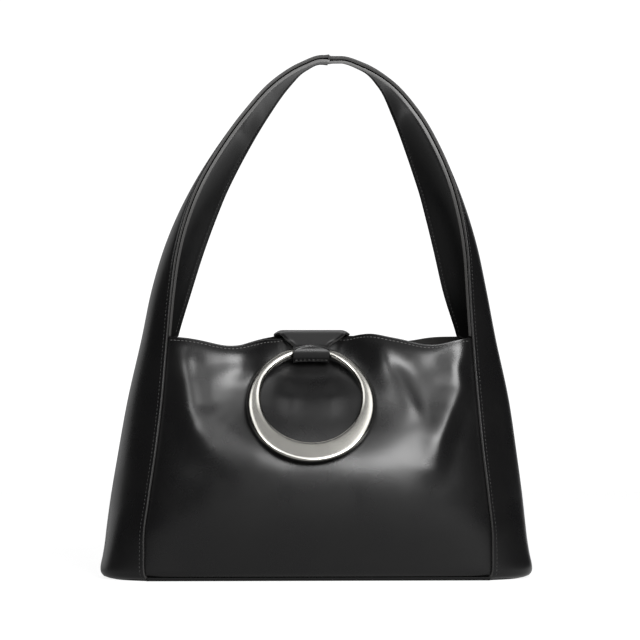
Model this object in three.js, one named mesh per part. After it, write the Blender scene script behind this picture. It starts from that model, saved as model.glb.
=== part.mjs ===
import * as THREE from "three";
import { mergeVertices } from "three/addons/utils/BufferGeometryUtils.js";

// A standing leather tote bag, in millimetres.
// X runs to the right, -Y to the front and +Z up, from the middle of the base's underside.

// Walls and seams
const panelLeather = 2;
const sideLeather = 2.6;
const tabLeather = 1.7;
const baseThickness = 3;
const baseRound = 0.6; // softening of the base's edges
const baseGap = 0.9; // between the base and the gussets' feet around it
const baseCorner = 5; // how far the base's straight edges stop short of the gussets' edges
const seamGap = 0.3;
const layerGap = 0.5; // between the strap's two layers
const lapGap = 0.7;
const lapReach = 0.06; // share of the half section by which a panel runs in under the gusset

// Body
const mouthHeight = 209;
const panelFoot = baseThickness + seamGap;
const bellyPower = 3.2; // how square the panels' bulge is from seam to seam
const pinchPower = 4; // how square the part that the tab draws in is
const seamDip = 2.4; // how far a panel sinks beside its seams
const seamDipPower = 8; // how close to its seams it sinks

// Gussets that run on into the strap
const sectionPower = 1.9; // 1 would fold each section to a sharp crease, 2 makes it a parabola
const edgeCrowding = 0.3; // how much closer the segments stand towards the edges
const topSeamX = -2.5; // place of the strap's top seam beside its crown
const facingFoot = 190; // where the strap's inner layer ends inside the bag
const tongueTop = mouthHeight + 4; // below this it narrows to a tongue between the panels' laps
const tongueShare = 0.78;
const tongueSetback = 0.6;

// Closing tab and ring
const tabX = -5.5;
const tabWidth = 66;
const loopWidth = 31;
const tabBackEnd = 158;
const tabBackTop = 204; // where it leaves the back panel that it is sewn to
const tabBackTurn = 1; // how far to the front it leans on the way to its top
const tabStandoff = 1.1;
const tabHug = { full: 0.8, none: 1.4 }; // shares of the sewn run between which it stops following the panel
const tabTop = 214.8;
const tabShoulder = 17; // how far to the front the tab's top runs before it turns down
const shoulderRound = 6;
const hinge = { y: -30.8, z: 195.7 };
const loopBore = 6.4;
const loopReturn = { radius: 6, run: 3 };
const ringRadius = 54.3;
const ringHoleRadius = 43;
const ringHoleRise = 4.2; // the hole sits this much above the rim's centre, so the ring is fat below
const ringFront = { top: 4.2, bottom: 5.6 };
const ringBack = { top: 4.2, bottom: 4.4 };
const ringTilt = 27.7; // degrees from upright, leaning out over the belly
const ringShift = -2; // the ring has slid a little to the left in its loop

// One row for each section of a side, from the base to the strap's crown: height, front edge, half depth,
// outward bow, how far the back edge turns in on the left and on the right, how far the bow looks up in
// degrees, and how far the section stands to the right
const sideSections = [
  { z: 0.5, x: 148.5, halfDepth: 55, bow: 38.3, turnLeft: 0, turnRight: 0, lift: 0, lean: 0 },
  { z: 10, x: 149.7, halfDepth: 55, bow: 38.3, turnLeft: 0, turnRight: 0, lift: 0, lean: 0 },
  { z: 20, x: 150, halfDepth: 54.9, bow: 35.7, turnLeft: 0, turnRight: 0, lift: 0, lean: 0 },
  { z: 36, x: 150, halfDepth: 54.5, bow: 33.4, turnLeft: 0, turnRight: 0, lift: 0, lean: 0 },
  { z: 70, x: 146.5, halfDepth: 52.5, bow: 33, turnLeft: 0, turnRight: 0, lift: 0, lean: 0.5 },
  { z: 110, x: 141.3, halfDepth: 47.5, bow: 32.2, turnLeft: 0, turnRight: 0, lift: 0, lean: 1.2 },
  { z: 153, x: 136.7, halfDepth: 41, bow: 30, turnLeft: 0.5, turnRight: 0.5, lift: 0, lean: 1.9 },
  { z: 205, x: 132.6, halfDepth: 34.7, bow: 25, turnLeft: 5.5, turnRight: 5.5, lift: 0, lean: 2.2 },
  { z: 250, x: 129.3, halfDepth: 32.5, bow: 23.5, turnLeft: 15, turnRight: 17, lift: 5, lean: 2.9 },
  { z: 284, x: 126, halfDepth: 31, bow: 20, turnLeft: 21, turnRight: 23, lift: 10, lean: 4.3 },
  { z: 313, x: 120.2, halfDepth: 29.5, bow: 16, turnLeft: 24, turnRight: 25.8, lift: 17, lean: 5.9 },
  { z: 342, x: 111, halfDepth: 28, bow: 11.5, turnLeft: 24.5, turnRight: 26.2, lift: 25, lean: 7.9 },
  { z: 373, x: 96, halfDepth: 26.5, bow: 8, turnLeft: 22.5, turnRight: 23.7, lift: 34, lean: 10.4 },
  { z: 404, x: 76, halfDepth: 25, bow: 5, turnLeft: 18, turnRight: 16.8, lift: 44, lean: 12.6 },
  { z: 431, x: 51.4, halfDepth: 23.5, bow: 3, turnLeft: 11.5, turnRight: 5, lift: 57, lean: 13 },
  { z: 446.5, x: 27, halfDepth: 22.5, bow: 1.5, turnLeft: 3, turnRight: -3, lift: 72, lean: 12.6 },
  { z: 453, x: 8, halfDepth: 22, bow: 0.8, turnLeft: 0, turnRight: -1, lift: 90, lean: 12.6 },
  { z: 453, x: 0, halfDepth: 22, bow: 0.8, turnLeft: 0, turnRight: 0, lift: 90, lean: 12.6 },
];

// By height: how far each panel bellies out, how far the tab draws its middle in, and half the width drawn in
const panelProfiles = {
  front: [
    { z: 0, belly: 0, pinch: 0, pinchWidth: 80 },
    { z: 45, belly: 17, pinch: 0, pinchWidth: 80 },
    { z: 75, belly: 22, pinch: 0, pinchWidth: 80 },
    { z: 95, belly: 23, pinch: 0, pinchWidth: 80 },
    { z: 125, belly: 20.5, pinch: 3.5, pinchWidth: 80 },
    { z: 155, belly: 13, pinch: 10, pinchWidth: 76 },
    { z: 190, belly: 3.5, pinch: 16.5, pinchWidth: 62 },
    { z: 214, belly: 1, pinch: 20, pinchWidth: 54 },
  ],
  back: [
    { z: 0, belly: 0, pinch: 0, pinchWidth: 70 },
    { z: 45, belly: 7, pinch: 0, pinchWidth: 70 },
    { z: 95, belly: 11, pinch: 0, pinchWidth: 70 },
    { z: 155, belly: 6, pinch: 7, pinchWidth: 70 },
    { z: 190, belly: 2, pinch: 14.5, pinchWidth: 62 },
    { z: 214, belly: 1, pinch: 20, pinchWidth: 54 },
  ],
};

// Waves of the two mouth edges: middle, half width and rise
const mouthWaves = {
  front: [
    { x: -74, width: 27, rise: -7.7 },
    { x: 44, width: 14, rise: 2.6 },
    { x: 97, width: 24, rise: -6.8 },
  ],
  back: [
    { x: -76, width: 26, rise: -9 },
    { x: tabX, width: 34, rise: 2.5 },
    { x: 78, width: 19, rise: -4 },
  ],
};

// Folds of soft leather: a ridge, or a dent where rise is below 0, along a line from one place to another
const panelFolds = {
  front: [
    { from: [-122, 192], to: [-106, 160], width: 11, rise: 5 },
    { from: [-106, 160], to: [-84, 112], width: 15, rise: 5 },
    { from: [-66, 190], to: [-46, 188], width: 12, rise: 4 },
    { from: [-90, 172], to: [-58, 178], width: 9, rise: -4 },
    { from: [126, 196], to: [114, 168], width: 11, rise: 6 },
    { from: [114, 168], to: [92, 112], width: 15, rise: 6 },
    { from: [45, 196], to: [78, 150], width: 11, rise: 4 },
    { from: [64, 192], to: [86, 150], width: 9, rise: -5 },
  ],
  back: [
    { from: [-112, 186], to: [-92, 120], width: 16, rise: 4 },
    { from: [112, 186], to: [92, 120], width: 16, rise: 4 },
    { from: [50, 186], to: [72, 150], width: 12, rise: -3 },
    { from: [-50, 186], to: [-74, 150], width: 12, rise: -3 },
  ],
};

// Segments of the bent walls
const panelSteps = { front: { across: 30, along: 16 }, back: { across: 22, along: 14 } };
const sideSteps = { across: 10, along: 36 };
const tabSteps = { across: 4, along: 50 };
const tabBackPoints = 5;
const ringSteps = { around: 52, section: 12 };
const baseArcSteps = 14;

const leatherBlack = new THREE.MeshStandardMaterial({ color: 0x17171a, roughness: 0.32, metalness: 0 });
const facingBlack = new THREE.MeshStandardMaterial({ color: 0x131315, roughness: 0.45, metalness: 0 });
const satinNickel = new THREE.MeshStandardMaterial({ color: 0xb4b2ac, roughness: 0.3, metalness: 1 });

// Smooth curves through the columns of a table, level at each column's peaks
function smoothTable(rows, key) {
  const last = rows.length - 1;

  function rise(column, from, to) {
    return (rows[to][column] - rows[from][column]) / (rows[to][key] - rows[from][key]);
  }

  function slope(column, i) {
    if (i === 0) {
      return rise(column, 0, 1);
    }
    if (i === last) {
      return rise(column, last - 1, last);
    }
    const before = rise(column, i - 1, i);
    const after = rise(column, i, i + 1);
    const share = (rows[i][key] - rows[i - 1][key]) / (rows[i + 1][key] - rows[i - 1][key]);
    return before * after > 0 ? before * (1 - share) + after * share : 0;
  }

  return (place, column) => {
    const kept = THREE.MathUtils.clamp(place, rows[0][key], rows[last][key]);
    const following = rows.findIndex((row, i) => i > 0 && kept <= row[key]);
    const i = following - 1;
    const span = rows[following][key] - rows[i][key];
    const t = (kept - rows[i][key]) / span;
    const start = rows[i][column] * (1 + 2 * t) + slope(column, i) * span * t;
    const end = rows[following][column] * (3 - 2 * t) - slope(column, following) * span * (1 - t);
    return start * (1 - t) ** 2 + end * t ** 2;
  };
}

// The outward normal of a surface, from its two directions at a place
function surfaceNormal(surface, u, v) {
  const step = 1e-4;
  const ahead = Math.min(v + step, 1);
  const right = Math.min(u + step, 1);
  const alongU = surface(right, v).sub(surface(right - 2 * step, v));
  const alongV = surface(u, ahead).sub(surface(u, ahead - 2 * step));
  return alongU.cross(alongV).normalize();
}

// A wall of leather: a box of many segments, bent so that its outer face lies on the surface
function bentWall(surface, steps, thickness) {
  const geometry = new THREE.BoxGeometry(1, 1, 1, steps.across, steps.along, 1);
  const position = geometry.attributes.position;
  for (let i = 0; i < position.count; i += 1) {
    const u = 2 * position.getX(i);
    const v = position.getY(i) + 0.5;
    const depth = (0.5 - position.getZ(i)) * thickness;
    const point = surface(u, v).addScaledVector(surfaceNormal(surface, u, v), -depth);
    position.setXYZ(i, point.x, point.y, point.z);
  }
  geometry.deleteAttribute("normal");
  geometry.deleteAttribute("uv");
  const wall = mergeVertices(geometry);
  wall.computeVertexNormals();
  return wall;
}

function gaussian(offset, width) {
  return Math.exp(-((offset / width) ** 2));
}

// The sides: sign is 1 on the right and -1 on the left, reach is measured along the front edge

function sideTable(sign) {
  const rows = sideSections.map((row) => ({ ...row, reach: 0 }));
  rows.at(-1).x = sign * topSeamX + seamGap / 2;
  for (let i = 1; i < rows.length; i += 1) {
    rows[i].reach = rows[i - 1].reach + Math.hypot(rows[i].x - rows[i - 1].x, rows[i].z - rows[i - 1].z);
  }
  return { at: smoothTable(rows, "reach"), length: rows.at(-1).reach };
}

const sides = { 1: sideTable(1), [-1]: sideTable(-1) };

function sidePoint(sign, reach, across) {
  const { at } = sides[sign];
  const bow = at(reach, "bow") * (1 - Math.abs(across) ** sectionPower);
  const lift = THREE.MathUtils.degToRad(at(reach, "lift"));
  const turn = at(reach, sign > 0 ? "turnRight" : "turnLeft");
  const x = at(reach, "x") - (turn * (across + 1)) / 2 + bow * Math.cos(lift);
  const z = at(reach, "z") + bow * Math.sin(lift);
  return new THREE.Vector3(sign * x + at(reach, "lean"), across * at(reach, "halfDepth"), z);
}

// u runs from the front edge to the back on the right and the other way on the left, so the outer face looks out
function sideSurface(sign, from, to) {
  return (u, v) => sidePoint(sign, from + (to - from) * v, sign * u * (1 + edgeCrowding * (1 - u * u)));
}

function reachAtHeight(z) {
  let low = 0;
  let high = sides[1].length;
  while (high - low > 1e-6) {
    const middle = (low + high) / 2;
    if (sides[1].at(middle, "z") < z) {
      low = middle;
    } else {
      high = middle;
    }
  }
  return low;
}

function gussetStrap(sign) {
  return bentWall(sideSurface(sign, 0, sides[sign].length), sideSteps, sideLeather);
}

// The strap's inner layer shares the outer layer's rows of segments
function strapFacing(sign) {
  const { length } = sides[sign];
  const rowLength = length / sideSteps.along;
  const firstRow = Math.ceil(reachAtHeight(facingFoot) / rowLength);
  const outer = sideSurface(sign, firstRow * rowLength, length);
  const tongueEnd = (reachAtHeight(tongueTop) - firstRow * rowLength) / (length - firstRow * rowLength);
  const inner = (u, v) => {
    const isTongue = v < tongueEnd;
    const across = isTongue ? u * tongueShare : u;
    const setback = sideLeather + layerGap + (isTongue ? tongueSetback : 0);
    return outer(across, v).addScaledVector(surfaceNormal(outer, across, v), -setback);
  };
  return bentWall(inner, { across: sideSteps.across, along: sideSteps.along - firstRow }, sideLeather);
}

// The front and back panels: facing is -1 at the front and 1 at the back

function panelTables(facing) {
  const name = facing < 0 ? "front" : "back";
  const at = smoothTable(panelProfiles[name], "z");
  return { at, waves: mouthWaves[name], folds: panelFolds[name], steps: panelSteps[name] };
}

const panels = { [-1]: panelTables(-1), 1: panelTables(1) };

function mouthZ(facing, x) {
  return panels[facing].waves.reduce((z, wave) => z + wave.rise * gaussian(x - wave.x, wave.width), mouthHeight);
}

function bodyLean(z) {
  return sides[1].at(reachAtHeight(z), "lean");
}

// A place just inside the right gusset, share of the lap's width in from its edge, measured from the leaning middle
function lapPoint(facing, z, share) {
  const surface = sideSurface(1, 0, sides[1].length);
  const v = reachAtHeight(z) / sides[1].length;
  const u = facing * (1 - lapReach * share);
  const point = surface(u, v).addScaledVector(surfaceNormal(surface, u, v), -(sideLeather + lapGap));
  point.x -= bodyLean(z);
  return point;
}

function foldRise(fold, x, z) {
  const run = [fold.to[0] - fold.from[0], fold.to[1] - fold.from[1]];
  const offset = [x - fold.from[0], z - fold.from[1]];
  const along = (offset[0] * run[0] + offset[1] * run[1]) / (run[0] ** 2 + run[1] ** 2);
  const kept = THREE.MathUtils.clamp(along, 0, 1);
  return fold.rise * gaussian(Math.hypot(offset[0] - kept * run[0], offset[1] - kept * run[1]), fold.width);
}

// How far a panel's outer face stands from the bag's middle plane
function panelDepth(facing, x, z) {
  const { at, folds } = panels[facing];
  const seam = lapPoint(facing, z, 0);
  const share = Math.min(Math.abs((x - bodyLean(z)) / seam.x), 1);
  const belly = at(z, "belly") * (1 - share ** bellyPower);
  const pinch = at(z, "pinch") * Math.exp(-(((x - tabX) / at(z, "pinchWidth")) ** pinchPower));
  const creases = folds.reduce((sum, fold) => sum + foldRise(fold, x, z), 0);
  return Math.abs(seam.y) + (seamDip + creases) * (1 - share ** seamDipPower) + belly - pinch;
}

function panelSurface(facing) {
  const mainShare = 1 - 2 / panels[facing].steps.across; // the outermost segments are the laps
  return (u, v) => {
    const side = -facing * Math.sign(u);
    const share = Math.min(Math.abs(u) / mainShare, 1);
    const guideZ = panelFoot + v * (mouthHeight - panelFoot);
    const x = bodyLean(guideZ) + side * share * lapPoint(facing, guideZ, 0).x;
    const z = panelFoot + v * (mouthZ(facing, x) - panelFoot);
    if (Math.abs(u) <= mainShare) {
      return new THREE.Vector3(x, facing * panelDepth(facing, x, z), z);
    }
    const lap = lapPoint(facing, z, (Math.abs(u) - mainShare) / (1 - mainShare));
    return new THREE.Vector3(bodyLean(z) + side * lap.x, lap.y, z);
  };
}

function panel(facing) {
  return bentWall(panelSurface(facing), panels[facing].steps, panelLeather);
}

// The base: a flat board with softened edges, inside the gussets' feet and under the panels' feet
function base() {
  const arc = (sign) => {
    const surface = sideSurface(sign, 0, sides[sign].length);
    return Array.from({ length: baseArcSteps + 1 }, (_, i) => {
      const u = -1 + (2 * i) / baseArcSteps;
      const point = surface(u, 0).addScaledVector(surfaceNormal(surface, u, 0), -(sideLeather + baseGap));
      return new THREE.Vector2(point.x, point.y);
    });
  };
  const { x, halfDepth } = sideSections[0];
  const corner = (right, back) => new THREE.Vector2(right * (x - baseCorner), back * halfDepth);
  const rightEnd = [corner(1, -1), ...arc(1), corner(1, 1)];
  const leftEnd = [corner(-1, 1), ...arc(-1), corner(-1, -1)];
  const outline = new THREE.Shape([...rightEnd, ...leftEnd]);
  const geometry = new THREE.ExtrudeGeometry(outline, {
    depth: baseThickness - 2 * baseRound,
    bevelSize: baseRound,
    bevelThickness: baseRound,
    bevelOffset: -baseRound,
    bevelSegments: 2,
  });
  return geometry.translate(0, 0, baseRound);
}

// The tab's outer face seen from the side: forward of the bag's middle plane, and up
function tabPath() {
  const offset = tabLeather + tabStandoff;
  const backPoint = (z) => new THREE.Vector2(-panelDepth(1, tabX, z) - offset, z);
  const up = Array.from({ length: tabBackPoints }, (_, i) =>
    backPoint(tabBackEnd + ((i + 1) / tabBackPoints) * (tabBackTop - tabBackEnd)),
  );
  const backCorner = new THREE.Vector2(up.at(-1).x + tabBackTurn, tabTop);
  const corner = new THREE.Vector2(tabShoulder, tabTop);
  const centre = new THREE.Vector2(-hinge.y, hinge.z);
  const radius = loopBore + tabLeather;

  const toCentre = centre.clone().sub(corner);
  const slope = toCentre.angle() - 2 * Math.PI + Math.asin(radius / toCentre.length());
  const down = new THREE.Vector2(Math.cos(slope), Math.sin(slope));
  const touch = slope + Math.PI / 2;
  const folded = tabLeather * 2 + seamGap;
  const bend = (radius - folded - loopReturn.radius) / (radius + loopReturn.radius);
  const leave = touch + Math.acos(bend);
  const returnCentre = new THREE.Vector2(Math.cos(leave), Math.sin(leave))
    .multiplyScalar(radius + loopReturn.radius)
    .add(centre);
  const returnEnd = new THREE.Vector2(Math.cos(touch), Math.sin(touch))
    .multiplyScalar(loopReturn.radius)
    .add(returnCentre)
    .addScaledVector(down, -loopReturn.run);

  const path = new THREE.Path();
  path.moveTo(backPoint(tabBackEnd).x, tabBackEnd);
  path.splineThru(up);
  path.quadraticCurveTo(backCorner.x, backCorner.y, backCorner.x + shoulderRound, tabTop);
  path.lineTo(corner.x - shoulderRound, tabTop);
  path.quadraticCurveTo(corner.x, corner.y, ...corner.clone().addScaledVector(down, shoulderRound));
  path.absarc(centre.x, centre.y, radius, touch, leave, true);
  path.absarc(returnCentre.x, returnCentre.y, loopReturn.radius, leave + Math.PI, touch, false);
  path.lineTo(returnEnd.x, returnEnd.y);
  return path;
}

// The tab lies on the back panel, crosses the mouth, narrows down the front and folds round the ring
function closureTab() {
  const path = tabPath();
  const lengths = path.getCurveLengths();
  const total = lengths.at(-1);
  const sewnEnd = lengths[0] / total;
  const taperStart = lengths[2] / total;
  const taperEnd = lengths[4] / total;
  const surface = (u, v) => {
    const point = path.getPointAt(THREE.MathUtils.clamp(v, 0, 1));
    const taper = THREE.MathUtils.clamp((v - taperStart) / (taperEnd - taperStart), 0, 1);
    const across = (-u * THREE.MathUtils.lerp(tabWidth, loopWidth, taper)) / 2;
    const hug = 1 - THREE.MathUtils.smoothstep(v, tabHug.full * sewnEnd, tabHug.none * sewnEnd);
    const sway = hug * (panelDepth(1, tabX + across, point.y) - panelDepth(1, tabX, point.y));
    return new THREE.Vector3(tabX + across, -point.x + sway, point.y);
  };
  return bentWall(surface, tabSteps, tabLeather);
}

// The ring, upright in its own frame and hung from the axis that it swings about
function ring() {
  const { around, section } = ringSteps;
  const geometry = new THREE.TorusGeometry(1, 0.5, section, around);
  const position = geometry.attributes.position;
  const topThickness = ringRadius - ringHoleRadius - ringHoleRise;
  const barSag = (loopWidth / 2 + Math.abs(ringShift)) ** 2 / (ringRadius + ringHoleRadius);
  const drop = ringRadius - topThickness / 2 - barSag / 2;
  for (let i = 0; i < position.count; i += 1) {
    const turn = ((i % (around + 1)) / around) * 2 * Math.PI;
    const roll = (Math.floor(i / (around + 1)) / section) * 2 * Math.PI;
    const direction = new THREE.Vector2(Math.cos(turn), Math.sin(turn));
    const rim = direction.clone().multiplyScalar(ringRadius);
    const hole = direction.clone().multiplyScalar(ringHoleRadius);
    hole.y += ringHoleRise;
    const place = hole.lerp(rim, (1 + Math.cos(roll)) / 2);
    const side = Math.sin(roll) > 0 ? ringFront : ringBack;
    const depth = Math.sin(roll) * THREE.MathUtils.lerp(side.bottom, side.top, (1 + direction.y) / 2);
    position.setXYZ(i, place.x, place.y - drop, depth);
  }
  geometry.deleteAttribute("normal");
  geometry.deleteAttribute("uv");
  const closed = mergeVertices(geometry);
  closed.computeVertexNormals();
  return closed;
}

function piece(name, geometry, material) {
  const mesh = new THREE.Mesh(geometry, material);
  mesh.name = name;
  return mesh;
}

const tote = new THREE.Group();
tote.add(piece("base_panel", base(), leatherBlack));
tote.add(piece("front_panel", panel(-1), leatherBlack));
tote.add(piece("back_panel", panel(1), leatherBlack));
tote.add(piece("gusset_strap_left", gussetStrap(-1), leatherBlack));
tote.add(piece("gusset_strap_right", gussetStrap(1), leatherBlack));
tote.add(piece("strap_facing_left", strapFacing(-1), facingBlack));
tote.add(piece("strap_facing_right", strapFacing(1), facingBlack));
tote.add(piece("closure_tab", closureTab(), leatherBlack));

const ringSwing = new THREE.Group();
ringSwing.position.set(tabX + ringShift, hinge.y, hinge.z);
ringSwing.rotation.x = THREE.MathUtils.degToRad(90 - ringTilt);
ringSwing.add(piece("ring", ring(), satinNickel));
tote.add(ringSwing);

export default tote;
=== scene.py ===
import math

import bmesh
import bpy
import numpy as np
from mathutils import Matrix, Vector, noise


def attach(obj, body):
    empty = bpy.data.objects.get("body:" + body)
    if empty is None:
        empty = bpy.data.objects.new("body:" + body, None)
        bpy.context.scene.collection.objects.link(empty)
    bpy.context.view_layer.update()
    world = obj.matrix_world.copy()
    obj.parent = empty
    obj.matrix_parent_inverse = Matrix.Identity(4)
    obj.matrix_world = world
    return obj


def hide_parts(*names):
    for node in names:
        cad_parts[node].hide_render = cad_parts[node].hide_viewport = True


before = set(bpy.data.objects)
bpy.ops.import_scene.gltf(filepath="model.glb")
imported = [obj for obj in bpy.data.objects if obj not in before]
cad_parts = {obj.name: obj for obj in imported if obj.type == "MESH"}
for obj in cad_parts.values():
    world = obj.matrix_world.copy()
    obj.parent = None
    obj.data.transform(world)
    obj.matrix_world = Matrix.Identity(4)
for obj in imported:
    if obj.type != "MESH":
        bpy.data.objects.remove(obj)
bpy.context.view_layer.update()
mm = 0.001  # the tables below are in millimetres
print("frame loaded:", len(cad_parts), "nodes")


# camera, floor and light

studio = {
    "distance": 3.0,
    "turnDeg": -2.0,
    "cameraHeight": 0.2235,
    "aimX": 0.0032,
    "frameWidth": 0.558,  # metres across the picture at the bag
    "sensor": 36.0,
    "floorHalf": 1.5,
    "floorDrop": 0.0002,
    "floorColour": (0.2, 0.2, 0.2, 1),
    "floorRoughness": 0.9,
    "floorGloss": 0.1,
    "floorGlow": 0.88,  # burns the floor out to white in the picture
    "floorFill": (0.14, 0.5),  # what it sends up to the bag on the left and on the right
    "fillReach": 0.35,
    "backgroundColour": (1.1, 1.1, 1.1, 1),
    "roomColour": (0.02, 0.02, 0.022, 1),  # what the leather mirrors where no light stands
}

# name, place, aim, width, height, watts
softBoxes = [
    ("front_box", (0.0, -1.97, 1.5), (0.0, 0.0, 0.15), 2.6, 0.85, 18),
    ("high_front", (0.0, -1.15, 1.83), (0.0, 0.0, 0.15), 2.6, 0.5, 1.7),
    ("left_wing", (-0.71, -1.22, 1.84), (0.0, 0.0, 0.15), 0.8, 0.55, 3.2),
    ("right_wing", (0.74, -1.2, 1.84), (0.0, 0.0, 0.15), 1.1, 0.55, 4.5),
    ("low_front", (0.0, -2.6, 0.55), (0.0, 0.0, 0.2), 1.5, 1.0, 2.9),
    ("right_key", (0.62, -1.85, 0.93), (0.0, 0.0, 0.12), 1.0, 0.7, 42),
    ("left_key", (-0.85, -1.7, 1.1), (0.0, 0.0, 0.15), 0.5, 0.4, 6.0),
    ("left_back", (-1.6, 1.35, 0.45), (0.0, 0.0, 0.2), 1.2, 1.0, 3.0),
    ("backdrop", (0.0, 2.2, 0.45), (0.0, 0.0, 0.25), 3.0, 1.4, 5.3),
    ("back_fill", (0.0, 1.8, 1.8), (0.0, 0.0, 0.2), 2.0, 0.8, 7),
    ("top_fill", (0.0, 0.35, 2.3), (0.0, 0.0, 0.2), 1.8, 1.8, 8),
]


def addNode(tree, kind, values=None, **settings):
    node = tree.nodes.new("ShaderNode" + kind)
    for name, value in settings.items():
        setattr(node, name, value)
    for name, value in (values or {}).items():
        node.inputs[name].default_value = value
    return node


def linkObject(name, data):
    thing = bpy.data.objects.new(name, data)
    bpy.context.scene.collection.objects.link(thing)
    return thing


def setCamera():
    camera = bpy.data.cameras.new("photo_camera")
    camera.sensor_width = studio["sensor"]
    camera.lens = studio["sensor"] * studio["distance"] / studio["frameWidth"]
    holder = linkObject("photo_camera", camera)
    turn = math.radians(studio["turnDeg"])
    holder.location = (
        studio["aimX"] + studio["distance"] * math.sin(turn),
        -studio["distance"] * math.cos(turn),
        studio["cameraHeight"],
    )
    holder.rotation_euler = (math.radians(90), 0, turn)
    bpy.context.scene.camera = holder


def setLights():
    for name, place, aim, width, height, watts in softBoxes:
        light = bpy.data.lights.new(name, "AREA")
        light.shape = "RECTANGLE"
        light.size = width
        light.size_y = height
        light.energy = watts
        box = linkObject(name, light)
        box.location = place
        box.rotation_euler = (Vector(aim) - Vector(place)).to_track_quat("-Z", "Y").to_euler()
        box.visible_camera = False


def setWorld():
    world = bpy.data.worlds.new("studio_world")
    bpy.context.scene.world = world
    world.use_nodes = True
    tree = world.node_tree
    tree.nodes.clear()
    path = addNode(tree, "LightPath")
    pick = addNode(tree, "Mix", data_type="RGBA")
    pick.inputs[6].default_value = studio["roomColour"]
    pick.inputs[7].default_value = studio["backgroundColour"]
    background = addNode(tree, "Background")
    out = addNode(tree, "OutputWorld")
    tree.links.new(path.outputs["Is Camera Ray"], pick.inputs[0])
    tree.links.new(pick.outputs[2], background.inputs["Color"])
    tree.links.new(background.outputs[0], out.inputs["Surface"])


def layFloor():
    bm = bmesh.new()
    bmesh.ops.create_grid(bm, x_segments=1, y_segments=1, size=studio["floorHalf"])
    bmesh.ops.translate(bm, verts=bm.verts, vec=(0, 0, -studio["floorDrop"]))
    mesh = bpy.data.meshes.new("floor")
    bm.to_mesh(mesh)
    bm.free()
    material = bpy.data.materials.new("pale_floor")
    material.use_nodes = True
    tree = material.node_tree
    shader = tree.nodes["Principled BSDF"]
    shader.inputs["Base Color"].default_value = studio["floorColour"]
    shader.inputs["Roughness"].default_value = studio["floorRoughness"]
    shader.inputs["Specular IOR Level"].default_value = studio["floorGloss"]
    shader.inputs["Emission Strength"].default_value = 1.0
    path = addNode(tree, "LightPath")
    place = addNode(tree, "TexCoord")
    split = addNode(tree, "SeparateXYZ")
    reach = studio["fillReach"]
    fill = addNode(tree, "MapRange", {"From Min": -reach, "From Max": reach})
    fill.inputs["To Min"].default_value, fill.inputs["To Max"].default_value = studio["floorFill"]
    glow = addNode(tree, "MapRange", {"To Max": studio["floorGlow"]})
    tree.links.new(place.outputs["Object"], split.inputs[0])
    tree.links.new(split.outputs["X"], fill.inputs["Value"])
    tree.links.new(fill.outputs["Result"], glow.inputs["To Min"])
    tree.links.new(path.outputs["Is Camera Ray"], glow.inputs["Value"])
    tree.links.new(glow.outputs["Result"], shader.inputs["Emission Color"])
    mesh.materials.append(material)
    linkObject("floor", mesh)


setCamera()
setLights()
setWorld()
layFloor()
bpy.context.scene.view_settings.view_transform = "Standard"
print("camera, floor and light set")


# finishes

def newGroup(name, inputs, outputs):
    tree = bpy.data.node_groups.new(name, "ShaderNodeTree")
    for label, kind, value in inputs:
        socket = tree.interface.new_socket(label, in_out="INPUT", socket_type="NodeSocket" + kind)
        socket.default_value = value
    for label, kind in outputs:
        tree.interface.new_socket(label, in_out="OUTPUT", socket_type="NodeSocket" + kind)
    return tree, tree.nodes.new("NodeGroupInput"), tree.nodes.new("NodeGroupOutput")


grain = {
    "poreScale": 2.7,  # how much finer the pores are than the pebbles
    "poreShare": 0.45,  # of the height
    "depth": 0.0006,
}


def makeHideGroup():
    # pores and pebbles of the grain side, and the broad mottling of a handled hide
    tree, taken, given = newGroup(
        "hide_surface",
        [
            ("Grain Scale", "Float", 900.0),
            ("Mottle Scale", "Float", 26.0),
            ("Deep Colour", "Color", (0.01, 0.01, 0.01, 1)),
            ("Worn Colour", "Color", (0.02, 0.02, 0.02, 1)),
            ("Smoothest", "Float", 0.25),
            ("Roughest", "Float", 0.4),
        ],
        [("Colour", "Color"), ("Roughness", "Float"), ("Height", "Float")],
    )
    link = tree.links.new
    place = addNode(tree, "TexCoord")
    pebbles = addNode(tree, "TexVoronoi", feature="SMOOTH_F1")
    pores = addNode(tree, "TexNoise", {"Detail": 3.0, "Roughness": 0.6})
    finer = addNode(tree, "Math", {1: grain["poreScale"]}, operation="MULTIPLY")
    mottle = addNode(tree, "TexNoise", {"Detail": 4.0, "Roughness": 0.55, "Distortion": 0.4})
    height = addNode(tree, "Mix", {0: grain["poreShare"]}, data_type="FLOAT")
    colour = addNode(tree, "Mix", data_type="RGBA")
    rough = addNode(tree, "MapRange", {"From Min": 0.3, "From Max": 0.7})
    for texture in (pebbles, pores, mottle):
        link(place.outputs["Object"], texture.inputs["Vector"])
    link(taken.outputs["Grain Scale"], pebbles.inputs["Scale"])
    link(taken.outputs["Grain Scale"], finer.inputs[0])
    link(finer.outputs[0], pores.inputs["Scale"])
    link(taken.outputs["Mottle Scale"], mottle.inputs["Scale"])
    link(pebbles.outputs["Distance"], height.inputs[2])
    link(pores.outputs["Fac"], height.inputs[3])
    link(mottle.outputs["Fac"], colour.inputs[0])
    link(taken.outputs["Deep Colour"], colour.inputs[6])
    link(taken.outputs["Worn Colour"], colour.inputs[7])
    link(mottle.outputs["Fac"], rough.inputs["Value"])
    link(taken.outputs["Smoothest"], rough.inputs["To Min"])
    link(taken.outputs["Roughest"], rough.inputs["To Max"])
    link(colour.outputs[2], given.inputs["Colour"])
    link(rough.outputs["Result"], given.inputs["Roughness"])
    link(height.outputs[0], given.inputs["Height"])
    return tree


hideGroup = makeHideGroup()

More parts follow.
